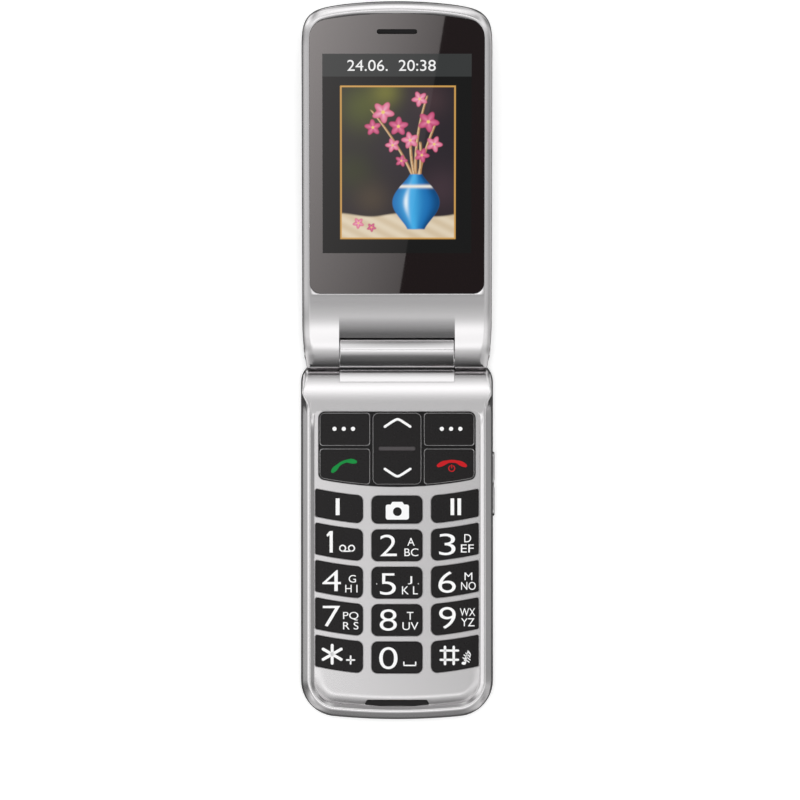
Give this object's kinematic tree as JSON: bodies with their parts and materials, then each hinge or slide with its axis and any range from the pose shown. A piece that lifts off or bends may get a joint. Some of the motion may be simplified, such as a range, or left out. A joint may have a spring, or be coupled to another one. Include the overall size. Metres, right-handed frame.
{
  "type": "flip phone",
  "caption": "Clamshell mobile phone with large keys, hinged display lid, side rocker, sliding battery cover and rear button, lying open on its back.",
  "frame": {"origin": "middle of the base, on its flat back face", "axes": "+Z out of the keypad, +Y from the keypad towards the hinge and the open lid, +X to the right of the keypad"},
  "size_m": [0.0534, 0.1982, 0.0392],
  "materials": {
    "silver_paint_base": "satin silver paint on moulded plastic",
    "silver_paint_plate": "satin silver paint, a shade lighter",
    "silver_paint_lid": "bright satin silver paint",
    "gloss_black": "gloss black",
    "key_black": "fine satin",
    "housing_black": "fine moulded grain",
    "lid_back_black": "gloss black",
    "window_glass": "clear gloss over a black print",
    "board_green": "solder mask",
    "film": "clear film",
    "steel": "plated",
    "gold": "gold plated",
    "flex_amber": "polyimide film",
    "battery_wrap": "printed wrap, unmarked",
    "rubber_black": "soft",
    "silver_trim": "satin",
    "red_button": "gloss",
    "lens": "coated",
    "diffuser": "milky yellow",
    "display": "glass faced"
  },
  "bodies": {
    "base": {"base_front_frame": "silver_paint_base", "keypad_plate": "silver_paint_plate", "function_panel": "gloss_black", "base_rear_housing": "housing_black", "battery": "battery_wrap", "main_board": "board_green", "shield_cans": "steel", "dome_sheet": "film", "hinge_barrel": "silver_paint_lid", "hinge_cam_unit": "steel", "hinge_flex": "flex_amber", "loudspeaker": "rubber_black", "microphone": "gold", "microphone_insert": "rubber_black", "usb_socket": "steel", "sim_holder": "steel", "vibration_motor": "steel", "antenna": "housing_black", "charging_contacts": "gold", "housing_screws": "steel"},
    "lid": {"lid_front_frame": "silver_paint_lid", "lid_rear_cover": "lid_back_black", "display_window": "window_glass", "display_module": "display", "earpiece": "rubber_black", "earpiece_mesh": "rubber_black", "lid_board": "board_green", "camera_module": "rubber_black", "camera_lens": "lens", "outer_display_window": "window_glass", "outer_display": "display", "lid_screws": "steel", "lid_magnet": "steel", "flash_led": "diffuser", "hinge_drive_shaft": "steel", "hinge_pin": "steel", "hinge_caps": "silver_trim"},
    "battery_cover_body": {"battery_cover": "housing_black"},
    "side_rocker_body": {"side_rocker": "silver_trim"},
    "sos_button_body": {"sos_button": "red_button"},
    "nav_rocker_body": {"nav_rocker": "gloss_black"},
    "soft_key_left_body": {"soft_key_left": "gloss_black"},
    "soft_key_right_body": {"soft_key_right": "gloss_black"},
    "call_key_body": {"call_key": "gloss_black"},
    "end_key_body": {"end_key": "gloss_black"},
    "memory_key_1_body": {"memory_key_1": "key_black"},
    "camera_key_body": {"camera_key": "key_black"},
    "memory_key_2_body": {"memory_key_2": "key_black"},
    "key_1_body": {"key_1": "key_black"},
    "key_2_body": {"key_2": "key_black"},
    "key_3_body": {"key_3": "key_black"},
    "key_4_body": {"key_4": "key_black"},
    "key_5_body": {"key_5": "key_black"},
    "key_6_body": {"key_6": "key_black"},
    "key_7_body": {"key_7": "key_black"},
    "key_8_body": {"key_8": "key_black"},
    "key_9_body": {"key_9": "key_black"},
    "key_star_body": {"key_star": "key_black"},
    "key_0_body": {"key_0": "key_black"},
    "key_hash_body": {"key_hash": "key_black"}
  },
  "joints": [
    {"name": "lid_hinge", "type": "hinge", "parent": "base", "child": "lid", "pos_m": [0, 0.0505, 0.0128], "axis": [1, 0, 0], "range_deg": [0, 165]},
    {"name": "battery_cover_slide", "type": "slide", "parent": "base", "child": "battery_cover_body", "axis": [0, -1, 0], "range_m": [0, 0.008]},
    {"name": "side_rocker_tilt", "type": "hinge", "parent": "base", "child": "side_rocker_body", "pos_m": [0.0253, 0.0145, 0.0064], "axis": [0, 0, 1], "range_deg": [-3, 3], "stiffness_Nm_per_rad": 0.02},
    {"name": "sos_press", "type": "slide", "parent": "base", "child": "sos_button_body", "axis": [0, 0, 1], "range_m": [0, 0.0005], "stiffness_N_per_m": 800, "springref_m": -0.0012},
    {"name": "nav_tilt", "type": "hinge", "parent": "base", "child": "nav_rocker_body", "pos_m": [0, 0.02423, 0.0094], "axis": [1, 0, 0], "range_deg": [-2, 2], "stiffness_Nm_per_rad": 0.02},
    {"name": "soft_key_left_press", "type": "slide", "parent": "base", "child": "soft_key_left_body", "axis": [0, 0, -1], "range_m": [0, 0.0004], "stiffness_N_per_m": 600, "springref_m": -0.001},
    {"name": "soft_key_right_press", "type": "slide", "parent": "base", "child": "soft_key_right_body", "axis": [0, 0, -1], "range_m": [0, 0.0004], "stiffness_N_per_m": 600, "springref_m": -0.001},
    {"name": "call_key_press", "type": "slide", "parent": "base", "child": "call_key_body", "axis": [0, 0, -1], "range_m": [0, 0.0004], "stiffness_N_per_m": 600, "springref_m": -0.001},
    {"name": "end_key_press", "type": "slide", "parent": "base", "child": "end_key_body", "axis": [0, 0, -1], "range_m": [0, 0.0004], "stiffness_N_per_m": 600, "springref_m": -0.001},
    {"name": "memory_key_1_press", "type": "slide", "parent": "base", "child": "memory_key_1_body", "axis": [0, 0, -1], "range_m": [0, 0.0004], "stiffness_N_per_m": 600, "springref_m": -0.001},
    {"name": "camera_key_press", "type": "slide", "parent": "base", "child": "camera_key_body", "axis": [0, 0, -1], "range_m": [0, 0.0004], "stiffness_N_per_m": 600, "springref_m": -0.001},
    {"name": "memory_key_2_press", "type": "slide", "parent": "base", "child": "memory_key_2_body", "axis": [0, 0, -1], "range_m": [0, 0.0004], "stiffness_N_per_m": 600, "springref_m": -0.001},
    {"name": "key_1_press", "type": "slide", "parent": "base", "child": "key_1_body", "axis": [0, 0, -1], "range_m": [0, 0.0004], "stiffness_N_per_m": 600, "springref_m": -0.001},
    {"name": "key_2_press", "type": "slide", "parent": "base", "child": "key_2_body", "axis": [0, 0, -1], "range_m": [0, 0.0004], "stiffness_N_per_m": 600, "springref_m": -0.001},
    {"name": "key_3_press", "type": "slide", "parent": "base", "child": "key_3_body", "axis": [0, 0, -1], "range_m": [0, 0.0004], "stiffness_N_per_m": 600, "springref_m": -0.001},
    {"name": "key_4_press", "type": "slide", "parent": "base", "child": "key_4_body", "axis": [0, 0, -1], "range_m": [0, 0.0004], "stiffness_N_per_m": 600, "springref_m": -0.001},
    {"name": "key_5_press", "type": "slide", "parent": "base", "child": "key_5_body", "axis": [0, 0, -1], "range_m": [0, 0.0004], "stiffness_N_per_m": 600, "springref_m": -0.001},
    {"name": "key_6_press", "type": "slide", "parent": "base", "child": "key_6_body", "axis": [0, 0, -1], "range_m": [0, 0.0004], "stiffness_N_per_m": 600, "springref_m": -0.001},
    {"name": "key_7_press", "type": "slide", "parent": "base", "child": "key_7_body", "axis": [0, 0, -1], "range_m": [0, 0.0004], "stiffness_N_per_m": 600, "springref_m": -0.001},
    {"name": "key_8_press", "type": "slide", "parent": "base", "child": "key_8_body", "axis": [0, 0, -1], "range_m": [0, 0.0004], "stiffness_N_per_m": 600, "springref_m": -0.001},
    {"name": "key_9_press", "type": "slide", "parent": "base", "child": "key_9_body", "axis": [0, 0, -1], "range_m": [0, 0.0004], "stiffness_N_per_m": 600, "springref_m": -0.001},
    {"name": "key_star_press", "type": "slide", "parent": "base", "child": "key_star_body", "axis": [0, 0, -1], "range_m": [0, 0.0004], "stiffness_N_per_m": 600, "springref_m": -0.001},
    {"name": "key_0_press", "type": "slide", "parent": "base", "child": "key_0_body", "axis": [0, 0, -1], "range_m": [0, 0.0004], "stiffness_N_per_m": 600, "springref_m": -0.001},
    {"name": "key_hash_press", "type": "slide", "parent": "base", "child": "key_hash_body", "axis": [0, 0, -1], "range_m": [0, 0.0004], "stiffness_N_per_m": 600, "springref_m": -0.001}
  ]
}
